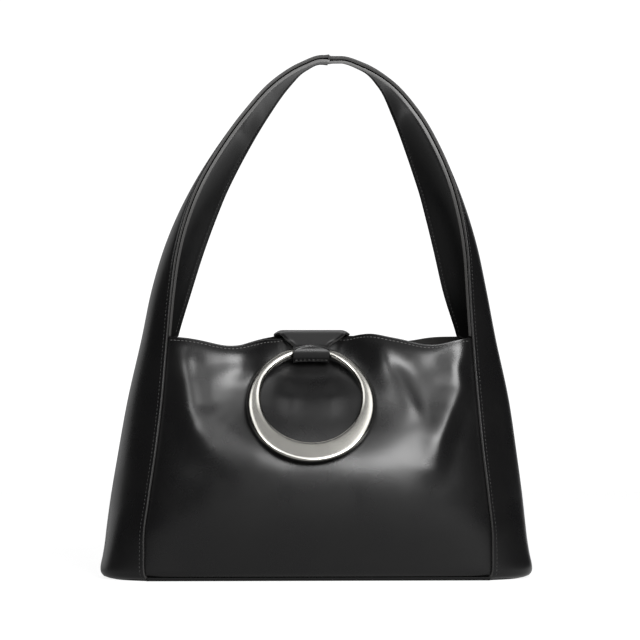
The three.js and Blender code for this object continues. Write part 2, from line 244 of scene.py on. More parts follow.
# one row of values for each hide: the group's inputs, the bump and the gloss
hides = {
    "glossy_hide": {
        "Grain Scale": 1100.0,
        "Mottle Scale": 24.0,
        "Deep Colour": (0.0042, 0.0042, 0.0045, 1),
        "Worn Colour": (0.0065, 0.0063, 0.0062, 1),
        "Smoothest": 0.25,
        "Roughest": 0.32,
        "bump": 0.06,
        "gloss": 0.36,
    },
    "facing_hide": {
        "Grain Scale": 1000.0,
        "Mottle Scale": 30.0,
        "Deep Colour": (0.0042, 0.0042, 0.0045, 1),
        "Worn Colour": (0.0065, 0.0065, 0.0065, 1),
        "Smoothest": 0.26,
        "Roughest": 0.34,
        "bump": 0.06,
        "gloss": 0.28,
    },
    # painted shade: the base's hide is coloured darker than the other hides, to stand for the shade under
    # the bag
    "shaded_base_hide": {
        "Grain Scale": 1100.0,
        "Mottle Scale": 24.0,
        "Deep Colour": (0.003, 0.003, 0.0032, 1),
        "Worn Colour": (0.005, 0.005, 0.005, 1),
        "Smoothest": 0.5,
        "Roughest": 0.6,
        "bump": 0.1,
        "gloss": 0.1,
    },
    "flesh_side": {
        "Grain Scale": 1500.0,
        "Mottle Scale": 60.0,
        "Deep Colour": (0.008, 0.008, 0.008, 1),
        "Worn Colour": (0.02, 0.019, 0.018, 1),
        "Smoothest": 0.75,
        "Roughest": 0.95,
        "bump": 0.35,
        "gloss": 0.2,
    },
}


def makeHide(name):
    values = hides[name]
    material = bpy.data.materials.new(name)
    material.use_nodes = True
    tree = material.node_tree
    shader = tree.nodes["Principled BSDF"]
    hide = addNode(tree, "Group")
    hide.node_tree = hideGroup
    for socket in hide.inputs:
        socket.default_value = values[socket.name]
    bump = addNode(tree, "Bump", {"Strength": values["bump"], "Distance": grain["depth"]})
    tree.links.new(hide.outputs["Colour"], shader.inputs["Base Color"])
    tree.links.new(hide.outputs["Roughness"], shader.inputs["Roughness"])
    tree.links.new(hide.outputs["Height"], bump.inputs["Height"])
    tree.links.new(bump.outputs["Normal"], shader.inputs["Normal"])
    shader.inputs["Specular IOR Level"].default_value = values["gloss"]
    return material


edgePaint = {"colour": (0.042, 0.041, 0.04, 1), "roughness": 0.42}


def makeEdgePaint():
    material = bpy.data.materials.new("edge_paint")
    material.use_nodes = True
    shader = material.node_tree.nodes["Principled BSDF"]
    shader.inputs["Base Color"].default_value = edgePaint["colour"]
    shader.inputs["Roughness"].default_value = edgePaint["roughness"]
    return material


# the mouth is sewn with a paler thread than the sides
threads = {
    "pale_thread": {"dark": (0.05, 0.05, 0.05, 1), "light": (0.14, 0.137, 0.133, 1)},
    "dark_thread": {"dark": (0.009, 0.009, 0.009, 1), "light": (0.026, 0.025, 0.024, 1)},
}
threadTwist = {"scale": 1800.0, "roughness": 0.5}


def makeThread(name):
    material = bpy.data.materials.new(name)
    material.use_nodes = True
    tree = material.node_tree
    shader = tree.nodes["Principled BSDF"]
    place = addNode(tree, "TexCoord")
    twist = addNode(tree, "TexNoise", {"Scale": threadTwist["scale"], "Detail": 2.0})
    shade = addNode(tree, "Mix", data_type="RGBA")
    shade.inputs[6].default_value = threads[name]["dark"]
    shade.inputs[7].default_value = threads[name]["light"]
    tree.links.new(place.outputs["Object"], twist.inputs["Vector"])
    tree.links.new(twist.outputs["Fac"], shade.inputs[0])
    tree.links.new(shade.outputs[2], shader.inputs["Base Color"])
    shader.inputs["Roughness"].default_value = threadTwist["roughness"]
    return material


satin = {
    "bright": (0.5, 0.49, 0.455, 1),
    "dull": (0.38, 0.37, 0.345, 1),
    "smoothest": 0.17,
    "roughest": 0.19,
    "clouds": 70.0,
    "scratches": 900.0,
    "bump": 0.012,
    "scratchDepth": 0.0003,
}


def makeSatin():
    material = bpy.data.materials.new("satin_nickel")
    material.use_nodes = True
    tree = material.node_tree
    shader = tree.nodes["Principled BSDF"]
    shader.inputs["Metallic"].default_value = 1.0
    place = addNode(tree, "TexCoord")
    clouds = addNode(tree, "TexNoise", {"Scale": satin["clouds"], "Detail": 3.0})
    scratches = addNode(tree, "TexNoise", {"Scale": satin["scratches"], "Detail": 2.0})
    tone = addNode(tree, "Mix", data_type="RGBA")
    tone.inputs[6].default_value = satin["dull"]
    tone.inputs[7].default_value = satin["bright"]
    rough = addNode(tree, "MapRange", {"To Min": satin["smoothest"], "To Max": satin["roughest"]})
    bump = addNode(tree, "Bump", {"Strength": satin["bump"], "Distance": satin["scratchDepth"]})
    for texture in (clouds, scratches):
        tree.links.new(place.outputs["Object"], texture.inputs["Vector"])
    tree.links.new(clouds.outputs["Fac"], tone.inputs[0])
    tree.links.new(tone.outputs[2], shader.inputs["Base Color"])
    tree.links.new(scratches.outputs["Fac"], rough.inputs["Value"])
    tree.links.new(rough.outputs["Result"], shader.inputs["Roughness"])
    tree.links.new(scratches.outputs["Fac"], bump.inputs["Height"])
    tree.links.new(bump.outputs["Normal"], shader.inputs["Normal"])
    return material


glossyHide = makeHide("glossy_hide")
facingHide = makeHide("facing_hide")
shadedBaseHide = makeHide("shaded_base_hide")
fleshSide = makeHide("flesh_side")
paintedEdge = makeEdgePaint()
paleThread = makeThread("pale_thread")
darkThread = makeThread("dark_thread")
satinNickel = makeSatin()
print("finishes made")


# tools that every piece uses

def smoothCurve(place, value):
    # through every point, level at peaks
    place = np.asarray(place, float)
    value = np.asarray(value, float)
    rises = np.diff(value) / np.diff(place)
    before, after = rises[:-1], rises[1:]
    share = np.diff(place)[:-1] / (place[2:] - place[:-2])
    inner = np.where(before * after > 0, before * (1 - share) + after * share, 0)
    slopes = np.concatenate([rises[:1], inner, rises[-1:]])

    def at(where):
        kept = np.clip(where, place[0], place[-1])
        i = np.clip(np.searchsorted(place, kept, side="right") - 1, 0, len(place) - 2)
        span = place[i + 1] - place[i]
        t = (kept - place[i]) / span
        start = value[i] * (1 + 2 * t) + slopes[i] * span * t
        end = value[i + 1] * (3 - 2 * t) - slopes[i + 1] * span * (1 - t)
        return start * (1 - t) ** 2 + end * t**2

    return at


def gauss(offset, width):
    return np.exp(-((offset / width) ** 2))


def smoothStep(where, start, end):
    t = np.clip((where - start) / (end - start), 0, 1)
    return t * t * (3 - 2 * t)


def sheetNormals(points):
    normals = np.cross(np.gradient(points, axis=1), np.gradient(points, axis=0))
    return normals / np.linalg.norm(normals, axis=-1, keepdims=True)


def lengthAcross(points):
    # along each row of a sheet, from its first column
    steps = np.linalg.norm(np.diff(points, axis=1), axis=-1)
    return np.concatenate([np.zeros((len(points), 1)), np.cumsum(steps, axis=1)], axis=1)


def lengthAlong(line):
    steps = np.linalg.norm(np.diff(line, axis=0), axis=-1)
    return np.concatenate([[0], np.cumsum(steps)])


def resample(line, count):
    length = lengthAlong(line)
    where = np.linspace(0, length[-1], count)
    return np.stack([np.interp(where, length, line[:, i]) for i in range(line.shape[1])], axis=1)


def bendSheet(across, along, place):
    # a flat grid bent to its place: u is -1 to 1 across it and v is 0 to 1 along it
    bm = bmesh.new()
    bmesh.ops.create_grid(bm, x_segments=across, y_segments=along, size=1)
    flat = np.array([vert.co[:2] for vert in bm.verts]).reshape(along + 1, across + 1, 2)
    points = place(flat[..., 0], (flat[..., 1] + 1) / 2)
    for vert, point in zip(bm.verts, points.reshape(-1, 3)):
        vert.co = point * mm
    return bm, points


def finishPiece(bm, name, materials, body, node=None):
    for face in bm.faces:
        face.smooth = True
    mesh = bpy.data.meshes.new(name)
    bm.to_mesh(mesh)
    bm.free()
    for material in materials:
        mesh.materials.append(material)
    piece = linkObject(name, mesh)
    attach(piece, body)
    if node:
        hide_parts(node)
    return piece


wallEdge = {"angleDeg": 50.0, "segments": 4}


def thicken(piece, thickness, rounding, inside=0, rim=0):
    # leather behind the outer face, with its cut or turned edges rounded
    wall = piece.modifiers.new("leather", "SOLIDIFY")
    wall.thickness = thickness * mm
    wall.offset = -1
    wall.material_offset = inside
    wall.material_offset_rim = rim
    edge = piece.modifiers.new("rounded_edge", "BEVEL")
    edge.limit_method = "ANGLE"
    edge.angle_limit = math.radians(wallEdge["angleDeg"])
    edge.width = rounding * mm
    edge.segments = wallEdge["segments"]


sewing = {"pitch": 3.4, "length": 2.4, "width": 0.7, "height": 0.6, "lookAhead": 0.5}


def sewRow(bm, line, normals):
    # single stitches laid on a surface, along a line of points
    length = lengthAlong(line)
    count = int(length[-1] / sewing["pitch"])
    where = (np.arange(count) + 0.5) * length[-1] / count

    def read(data, offset):
        return np.stack([np.interp(where + offset, length, data[:, i]) for i in range(3)], axis=1)

    runs = read(line, sewing["lookAhead"]) - read(line, -sewing["lookAhead"])
    for spot, run, lift in zip(read(line, 0), runs, read(normals, 0)):
        run = Vector(run).normalized()
        side = run.cross(Vector(lift)).normalized()
        lift = side.cross(run)
        axes = ((side, "width"), (lift, "height"), (run, "length"))
        turn = Matrix([axis * sewing[size] / 2 for axis, size in axes]).transposed()
        matrix = Matrix.Scale(mm, 4) @ Matrix.Translation(Vector(spot)) @ turn.to_4x4()
        bmesh.ops.create_uvsphere(bm, u_segments=6, v_segments=4, radius=1, matrix=matrix)


def lineInFromEdge(points, inset, fromEnd):
    # a line of points and normals that keeps its distance from a sheet's side edge
    length = lengthAcross(points)
    normals = sheetNormals(points)
    where = length[:, -1] - inset if fromEnd else np.full(len(points), inset)

    def pick(data):
        found = []
        for spot, row, values in zip(where, length, data):
            found.append([np.interp(spot, row, values[:, i]) for i in range(3)])
        return np.array(found)

    return pick(points), pick(normals)


# the sides: gussets that run on into the strap

sideCut = {
    "leather": 2.6,
    "layerGap": 0.5,
    "topLap": 0.5,  # how far the halves run into each other under the top seam
    "sectionPower": 1.9,
    "footPower": 3.4,  # the foot is squarer, as the base holds it
    "footReach": 70.0,
    "edgeCrowding": 0.3,
    "topSeamX": -2.5,
    "foot": 0.5,
    "footRound": 6.5,
    "across": 44,
    "along": 300,
    "lip": 0.35,
    "lipPlace": 1.5,
    "lipWidth": 1.6,
    "stitchInset": 3.6,
    "stitchDip": 0.3,
    "stitchDipWidth": 1.0,
    "facingAlong": 180,
    "facingBareRows": 10,  # rows of the tongue without stitches
    "facingFoot": 196.0,
    "tongueTop": 209.8,
    "tongueFull": 208.0,
    "tongueShare": 0.78,
    "tongueSetback": 0.6,
    "rounding": 1.2,
    "tip": {-1: 0.4, 1: 1.8},  # how far the crown's front edge hangs and its back edge stands up
    "tipRun": 70.0,
    "swell": 0.5,  # at the top seam
    "swellRun": 2.5,
}

# by section: height, front edge, half depth, outward bow, the back edge's turn in on the left and on the
# right, the bow's lift in degrees, lean
sideRows = np.array([
    (0.5, 148.5, 55, 38.5, 0, 0, 0, 0),
    (8, 149.7, 55, 38.1, 0, 0, 0, 0),
    (20, 150, 54.9, 35.7, 0, 0, 0, 0),
    (36, 150, 54.5, 33.4, 0, 0, 0, 0),
    (70, 146.5, 52.5, 33, 0, 0, 0, 0.5),
    (110, 141.3, 47.5, 32.2, 0, 0, 0, 1.2),
    (153, 136.7, 41, 30, 0.5, 0.5, 0, 1.9),
    (205, 132.6, 34.7, 25, 5.5, 5.5, 0, 2.2),
    (250, 129.3, 32.5, 23.5, 15, 17, 5, 2.9),
    (284, 126, 31, 20, 21, 23, 10, 4.3),
    (313, 120.2, 29.5, 16, 24, 25.8, 17, 5.9),
    (342, 111, 28, 11.5, 24.5, 26.2, 25, 7.9),
    (373, 96, 26.5, 8, 22.5, 23.7, 34, 10.4),
    (404, 76, 25, 5, 18, 16.8, 44, 12.6),
    (431, 51.4, 23.5, 3, 11.5, 5, 57, 13),
    (446.5, 27, 22.5, 1.5, 3, -3, 72, 12.6),
    (453, 8, 22, 0.8, 0, -1, 90, 12.6),
    (453, 0, 22, 0.8, 0, 0, 90, 12.6),
])
sideColumns = ("z", "x", "halfDepth", "bow", "turnLeft", "turnRight", "lift", "lean")


def makeSide(sign):
    rows = sideRows.copy()
    rows[-1, 1] = sign * sideCut["topSeamX"] - sideCut["topLap"]
    reach = lengthAlong(rows[:, :2])
    side = {name: smoothCurve(reach, rows[:, i]) for i, name in enumerate(sideColumns)}
    side["turn"] = side["turnRight" if sign > 0 else "turnLeft"]
    side["length"] = reach[-1]
    return side


sides = {1: makeSide(1), -1: makeSide(-1)}
denseReach = np.linspace(0, sides[1]["length"], 2000)
denseHeight = np.maximum.accumulate(sides[1]["z"](denseReach))


def reachAt(z):
    return np.interp(z, denseHeight, denseReach)


def bodyLean(z):
    return sides[1]["lean"](reachAt(z))


def footInset(z, cut):
    radius = cut["footRound"]
    below = np.clip(radius - (z - cut["foot"]), 0, radius)
    return radius - np.sqrt(radius**2 - below**2)


def sidePoint(sign, reach, across):
    side = sides[sign]
    foot = 1 - smoothStep(reach, 0, sideCut["footReach"])
    power = sideCut["sectionPower"] + (sideCut["footPower"] - sideCut["sectionPower"]) * foot
    half, fullBow = side["halfDepth"](reach), side["bow"](reach)
    bow = fullBow * (1 - np.abs(across) ** power)
    lift = np.radians(side["lift"](reach))
    x = side["x"](reach) - side["turn"](reach) * (across + 1) / 2 + bow * np.cos(lift)
    y = across * half
    z = side["z"](reach) + bow * np.sin(lift)
    crown = smoothStep(reach, side["length"] - sideCut["tipRun"], side["length"])
    z = z + across * sideCut["tip"][sign] * crown
    outY = fullBow * power * np.abs(across) ** (power - 1) * np.sign(across)
    inset = footInset(z, sideCut) / np.hypot(half, outY)
    return np.stack([sign * (x - inset * half) + side["lean"](reach), y - inset * outY, z], axis=-1)


def crowd(u):
    return u * (1 + sideCut["edgeCrowding"] * (1 - u * u))


def sideSheet(sign, startReach):
    length = sides[sign]["length"]
    return lambda u, v: sidePoint(sign, startReach + (length - startReach) * v, sign * crowd(u))


def turnedEdge(points):
    # a lip along both side edges, drawn down again by the stitches
    length = lengthAcross(points)
    fromEdge = np.minimum(length, length[:, -1:] - length)
    rise = sideCut["lip"] * gauss(fromEdge - sideCut["lipPlace"], sideCut["lipWidth"])
    rise -= sideCut["stitchDip"] * gauss(fromEdge - sideCut["stitchInset"], sideCut["stitchDipWidth"])
    fromSeam = np.linalg.norm(points - points[-1:], axis=-1)
    rise += sideCut["swell"] * gauss(fromSeam, sideCut["swellRun"])
    return points + sheetNormals(points) * rise[..., None]


def makeGusset(sign, name):
    outer = sideSheet(sign, 0)
    bm, points = bendSheet(sideCut["across"], sideCut["along"], lambda u, v: turnedEdge(outer(u, v)))
    node = "gusset_strap_" + name
    piece = finishPiece(bm, node + "_hide", [glossyHide, fleshSide, paintedEdge], "bag", node)
    thicken(piece, sideCut["leather"], sideCut["rounding"], inside=1, rim=2)
    stitches = bmesh.new()
    for fromEnd in (False, True):
        sewRow(stitches, *lineInFromEdge(points, sideCut["stitchInset"], fromEnd))
    finishPiece(stitches, "gusset_stitches_" + name, [darkThread], "bag")


# where the inner layer ripples: height, width, rise, and how far the ripple slants across
facingRipples = {
    -1: [(385, 7, 2.4, 10), (409, 7, 2.4, 12), (421, 6, 1.6, 8)],
    1: [(402, 7, 2, -10), (430, 6, 1.2, -6)],
}


def makeFacing(sign, name):
    start = reachAt(sideCut["facingFoot"])
    outer = sideSheet(sign, start)
    run = sides[sign]["length"] - start
    tongueFull = (reachAt(sideCut["tongueFull"]) - start) / run
    tongueEnd = (reachAt(sideCut["tongueTop"]) - start) / run

    def place(u, v):
        tongue = 1 - smoothStep(v, tongueFull, tongueEnd)
        narrow = u * (1 - tongue * (1 - sideCut["tongueShare"]))
        points = outer(narrow, v)
        setback = sideCut["leather"] + sideCut["layerGap"] + tongue * sideCut["tongueSetback"]
        inner = points - sheetNormals(points) * (setback + sideCut["leather"])[..., None]
        inner = turnedEdge(inner[:, ::-1])
        height = sides[sign]["z"](start + run * v)
        ripple = np.zeros_like(u)
        for z, width, rise, slant in facingRipples[sign]:
            ripple += rise * gauss(height + slant * u - z, width)
        return inner + sheetNormals(inner) * (ripple * (1 - u**2) ** 2)[..., None]

    bm, points = bendSheet(sideCut["across"], sideCut["facingAlong"], place)
    node = "strap_facing_" + name
    piece = finishPiece(bm, node + "_hide", [facingHide, paintedEdge], "bag", node)
    thicken(piece, sideCut["leather"], sideCut["rounding"], rim=1)
    stitches = bmesh.new()
    for fromEnd in (False, True):
        sewn = points[sideCut["facingBareRows"]:]
        sewRow(stitches, *lineInFromEdge(sewn, sideCut["stitchInset"], fromEnd))
    finishPiece(stitches, "facing_stitches_" + name, [darkThread], "bag")


for sign, name in ((-1, "left"), (1, "right")):
    makeGusset(sign, name)
    makeFacing(sign, name)
print("gussets and strap made")


# front and back panels

panelCut = {
    "leather": 2.0,
    "foot": 3.3,
    "footRound": 2.0,
    "mouth": 209.0,
    "bellyPower": 3.2,
    "pinchPower": 4.0,
    "seamDip": 2.4,
    "seamDipPower": 18.0,
    "lapGap": 0.7,
    "lapReach": 0.06,
    "mainShare": 0.97,
    "across": 170,
    "along": 124,
    "hem": 0.6,
    "hemWidth": 3.4,
    "hemFade": 1.6,
    "stitchInset": 2.6,
    "stitchDip": 0.35,
    "stitchDipWidth": 0.9,
    "stitchEnd": 0.02,  # share of the mouth at each end that has no stitches
    "rounding": 0.9,
    "settle": 8,  # rounds of smoothing
    "crumple": 0.45,
    "crumpleScale": (0.045, 0.03),
    "crumpleApart": 7.0,  # keeps the two panels' patterns apart
    "crumpleRise": (70.0, 150.0),
    "crumpleFade": 8,  # how close to the seams it fades out
    "guideTop": 216.0,
    "guideSteps": 214,
}
tabX = -5.5

# height, belly, how far the tab draws the middle in, half the width drawn in
panelRows = {
    -1: [
        (0, 0, 0, 80),
        (45, 17, 0, 80),
        (75, 22, 0, 80),
        (95, 23, 0, 80),
        (125, 20.5, 3.5, 76),
        (155, 13, 10, 68),
        (190, 3.8, 16.8, 52),
        (200, 4.2, 19, 50),
        (214, 5.8, 22.8, 47),
    ],
    1: [
        (0, 0, 0, 70),
        (45, 7, 0, 70),
        (95, 11, 0, 70),
        (155, 6, 7, 70),
        (190, 2, 14.5, 62),
        (214, 1, 20, 54),
    ],
}

# middle, half width and rise of the mouth's waves
mouthWaves = {
    -1: [(-74, 27, -7.7), (44, 14, 2.6), (97, 24, -6.8), (tabX - 30, 6, -0.8), (tabX + 30, 6, -0.8)],
    1: [(-76, 26, -9), (tabX, 34, 2.5), (78, 19, -4)],
}

# a fold is its widths on its two sides and its points: x, z and rise there, below 0 in a dent
panelFolds = {
    -1: [
        (16, 24, [
            (-127, 205, 2), (-115.5, 191, 3.5), (-110, 170, 5), (-110, 150, 5),
            (-103.5, 133, 4.5), (-93, 120, 3), (-71, 103, 1),
        ]),
        (6, 7, [(-106, 188, -1), (-103.5, 174, -1.6), (-99, 152, -1.2)]),
        (9, 9, [(-84, 180, 0.6), (-66, 179.5, 2), (-54, 179, 1.8), (-46, 178, 0)]),
        (14, 14, [(-82, 140, 0.8), (-60, 118, 1.6), (-42, 102, 0.8)]),
        (9, 9, [(-29, 210, -3), (-27, 197, -2), (-25, 186, 0)]),
        (9, 9, [(19, 210, -3), (17, 197, -2), (15, 186, 0)]),
        (8, 8, [(-43, 182, 0), (-43, 174, 1), (-40, 160, 0)]),
        (12, 12, [(-38, 156, 0.4), (-22, 153, 1.6), (10, 153, 1.6), (26, 156, 0.4)]),
        (8, 8, [(-22, 174, 0), (-24, 158, 1.5), (-26, 140, 0)]),
        (8, 8, [(8, 174, 0), (11, 158, 1.5), (14, 140, 0)]),
        (20, 8, [(50, 199, 1), (57, 187, 2), (68, 170, 2.8), (80, 150, 2.4), (87, 138, 1.2)]),
        (8, 10, [(72, 194, -0.6), (82, 175, -1.3), (90, 156, -1.3), (95, 142, -0.8)]),
        (9, 9, [(92, 184, 0.5), (101, 174, 1.2), (108, 166, 1)]),
        (14, 9, [
            (136, 208, 2), (132, 199, 3.5), (121, 183, 5), (125, 165, 5.5),
            (113, 143, 5.5), (104, 121, 4.5), (99, 99, 2),
        ]),
    ],
    1: [
        (12, 18, [(-116, 190, 2.5), (-106, 160, 4), (-92, 120, 3)]),
        (18, 12, [(116, 190, 2.5), (106, 160, 4), (92, 120, 3)]),
        (12, 10, [(50, 186, -2.5), (61, 168, -3), (72, 150, -2)]),
        (10, 12, [(-50, 186, -2.5), (-62, 168, -3), (-74, 150, -2)]),
    ],
}

panelCurves = {
    facing: [smoothCurve(*np.array(rows, float)[:, (0, i)].T) for i in (1, 2, 3)]
    for facing, rows in panelRows.items()
}


def lapLine(facing, z, share):
    # just inside the right gusset, in from its edge by a share of the lap
    u = np.full_like(z, facing * (1 - panelCut["lapReach"] * share))
    reach = reachAt(z)
    step = 1e-3
    point = sidePoint(1, reach, crowd(u))
    alongU = sidePoint(1, reach, crowd(u + step)) - sidePoint(1, reach, crowd(u - step))
    alongV = sidePoint(1, reach + 0.5, crowd(u)) - sidePoint(1, np.maximum(reach - 0.5, 0), crowd(u))
    normal = np.cross(alongU, alongV)
    normal /= np.linalg.norm(normal, axis=-1, keepdims=True)
    point = point - normal * (sideCut["leather"] + panelCut["lapGap"])
    point[:, 0] -= bodyLean(z)
    return point


guideZ = np.linspace(panelCut["foot"], panelCut["guideTop"], panelCut["guideSteps"])
lapLines = {facing: [lapLine(facing, guideZ, share) for share in (0, 1)] for facing in (-1, 1)}


def lapAt(facing, end, axis, z):
    return np.interp(z, guideZ, lapLines[facing][end][:, axis])


def mouthZ(facing, x):
    waves = [rise * gauss(x - middle, width) for middle, width, rise in mouthWaves[facing]]
    return panelCut["mouth"] + sum(waves)


def foldRise(fold, x, z):
    # the nearest point of the fold's line gives its rise, and the side gives its width
    leftWidth, rightWidth, spots = fold
    nearest = np.full(np.shape(x), 1e9)
    rise = np.zeros(np.shape(x))
    for (x0, z0, rise0), (x1, z1, rise1) in zip(spots[:-1], spots[1:]):
        runX, runZ = x1 - x0, z1 - z0
        run = math.hypot(runX, runZ)
        t = np.clip(((x - x0) * runX + (z - z0) * runZ) / run**2, 0, 1)
        offX, offZ = x - x0 - t * runX, z - z0 - t * runZ
        away = np.hypot(offX, offZ) + 1e-6
        lean = (runX * offZ - runZ * offX) / (run * away)
        width = leftWidth + (rightWidth - leftWidth) * (1 + lean) / 2
        here = (rise0 + t * (rise1 - rise0)) * gauss(away, width)
        rise = np.where(away < nearest, here, rise)
        nearest = np.minimum(nearest, away)
    return rise


def panelDepth(facing, x, z):
    belly, pinch, pinchWidth = (curve(z) for curve in panelCurves[facing])
    share = np.minimum(np.abs((x - bodyLean(z)) / lapAt(facing, 0, 0, z)), 1)
    near = 1 - share ** panelCut["seamDipPower"]
    depth = np.abs(lapAt(facing, 0, 1, z)) + panelCut["seamDip"] * near
    depth = depth + belly * (1 - share ** panelCut["bellyPower"])
    depth = depth - pinch * np.exp(-(np.abs((x - tabX) / pinchWidth) ** panelCut["pinchPower"]))
    return depth + near * sum(foldRise(fold, x, z) for fold in panelFolds[facing])


def crumple(facing, x, z):
    # small unevenness of soft leather, more of it in the upper half
    scaleX, scaleZ = panelCut["crumpleScale"]
    apart = facing * panelCut["crumpleApart"]
    flat = zip(np.ravel(x), np.ravel(z))
    rise = [noise.noise(Vector((px * scaleX, apart, pz * scaleZ))) for px, pz in flat]
    return np.reshape(rise, np.shape(x)) * panelCut["crumple"] * smoothStep(z, *panelCut["crumpleRise"])


def panelPlace(facing):
    mainShare, foot, mouth = panelCut["mainShare"], panelCut["foot"], panelCut["mouth"]

    def place(u, v):
        side = -facing * np.sign(u)
        share = np.minimum(np.abs(u) / mainShare, 1)
        guide = foot + v * (mouth - foot)
        x = bodyLean(guide) + side * share * lapAt(facing, 0, 0, guide)
        z = foot + v * (mouthZ(facing, x) - foot)
        depth = panelDepth(facing, x, z) + crumple(facing, x, z) * (1 - share ** panelCut["crumpleFade"])
        fromRim = (1 - v) * (mouth - foot)
        hemEnd = panelCut["hemWidth"]
        depth = depth + panelCut["hem"] * (1 - smoothStep(fromRim, hemEnd, hemEnd + panelCut["hemFade"]))
        dip = gauss(fromRim - panelCut["stitchInset"], panelCut["stitchDipWidth"])
        depth = depth - panelCut["stitchDip"] * dip
        depth = depth - footInset(z, panelCut)
        lap = np.clip((np.abs(u) - mainShare) / (1 - mainShare), 0, 1)
        lapX = bodyLean(z) + side * (lapAt(facing, 0, 0, z) * (1 - lap) + lapAt(facing, 1, 0, z) * lap)
        lapY = lapAt(facing, 0, 1, z) * (1 - lap) + lapAt(facing, 1, 1, z) * lap
        onLap = np.abs(u) > mainShare
        return np.stack([np.where(onLap, lapX, x), np.where(onLap, lapY, facing * depth), z], axis=-1)

    return place


def makePanel(facing, name):
    bm, points = bendSheet(panelCut["across"], panelCut["along"], panelPlace(facing))
    inner = [vert for vert in bm.verts if not vert.is_boundary]
    for _ in range(panelCut["settle"]):
        bmesh.ops.smooth_vert(bm, verts=inner, factor=0.5, use_axis_x=True, use_axis_y=True, use_axis_z=True)
    piece = finishPiece(bm, name + "_panel_hide", [glossyHide, fleshSide], "bag", name + "_panel")
    thicken(piece, panelCut["leather"], panelCut["rounding"], inside=1)
    turned = points.transpose(1, 0, 2)[:, ::-1]  # rows run down from the rim
    bare = panelCut["stitchEnd"]
    keep = slice(int(bare * len(turned)), int((1 - bare) * len(turned)))
    return lineInFromEdge(turned[keep], panelCut["stitchInset"], False)


mouthStitches = bmesh.new()
for facing, name in ((-1, "front"), (1, "back")):
    sewRow(mouthStitches, *makePanel(facing, name))
finishPiece(mouthStitches, "mouth_stitches", [paleThread], "bag")
print("panels made")


# base

baseCut = {
    "thickness": 3.0,
    "rounding": 0.4,
    "halfDepth": 52.5,
    "across": 120,
    "along": 40,
    "footSteps": 61,
    "corner": (28.0, 46.0),  # how far from the middle its corners begin and end
    "overlap": (-2.5, 1.5),  # past the gussets' feet between the corners, and at them
}


def makeBase():
    steps = baseCut["footSteps"]
    turnedIn = sidePoint(1, np.zeros(steps), np.linspace(-1, 1, steps))  # the right gusset's foot

    def place(u, v):
        y = (2 * v - 1) * baseCut["halfDepth"]
        overlap = np.interp(np.abs(y), baseCut["corner"], baseCut["overlap"])
        x = u * (np.interp(y, turnedIn[:, 1], turnedIn[:, 0]) + overlap)
        return np.stack([x, y, np.full_like(u, baseCut["thickness"])], axis=-1)

    bm, _ = bendSheet(baseCut["across"], baseCut["along"], place)
    # the base wears the hide with painted shade, darker for the shade under the bag
    piece = finishPiece(bm, "base_panel_hide", [shadedBaseHide], "bag", "base_panel")
    thicken(piece, baseCut["thickness"], baseCut["rounding"])


makeBase()
print("base made")


# closing tab

tabCut = {
    "width": 66.0,
    "loopWidth": 31.0,
    "leather": 1.7,
    "backEnd": 158.0,
    "backTop": 204.0,
    "backTurn": 1.0,
    "standoff": 1.1,
    "top": 214.8,
    "shoulder": 17.0,
    "shoulderRound": 6.0,
    "hingeY": -30.8,
    "hingeZ": 195.7,
    "bore": 6.4,
    "returnRadius": 6.0,
    "returnRun": 3.0,
    "seamGap": 0.3,
    "across": 72,
    "along": 560,
    "rounding": 0.7,
    "stitchInset": 2.4,
    "foldWidth": 54.5,  # where the tab turns down to the front
    "neckWidth": 33.0,
    "neckRun": 0.5,  # how far the taper runs on over the loop
    "neckFlare": 1.2,  # how far the neck's side edges stand off, so that the ring swings clear
    "flareFrom": 0.7,  # share of the half width
    "flarePlace": 3.0,
    "flareRun": 4.0,
    "hug": (0.8, 1.4),  # shares of the sewn run between which it stops following the back panel
    "droop": 3.6,  # of the side edges over the mouth
    "droopFrom": 0.76,  # share of the half width past which they droop
    "droopRise": 1.3,  # share of the sewn run at which they droop in full
    "droopLead": 0.02,
    "taperLead": 0.03,
    "faceFade": 0.01,
    "lean": 1.7,  # how far its top stands to the right of its loop
    "edgeFall": 0.6,
    "edgeWidth": (0.3, 2.2),
    "step": 1.1,  # the loop's end lies on the tab's face in an arch
    "stepEdge": 0.3,
    "stepFade": (11.0, 20.0),
    "bead": 0.7,
    "beadPlace": 0.7,
    "beadWidth": 0.6,
    "stepRise": 3.5,
    "stepDrop": 5.0,  # how far down over the loop the arch's feet stand
    "loopSeam": 0.3,  # share of the loop's run at which it is sewn
    "backSteps": 24,
}


def quadratic(start, corner, end, count=14):
    t = np.linspace(0, 1, count)[:, None]
    return np.array(start) * (1 - t) ** 2 + 2 * np.array(corner) * t * (1 - t) + np.array(end) * t**2


def arc(centre, radius, start, end, count):
    angle = np.linspace(start, end, count)
    return np.stack([centre[0] + radius * np.cos(angle), centre[1] + radius * np.sin(angle)], axis=1)


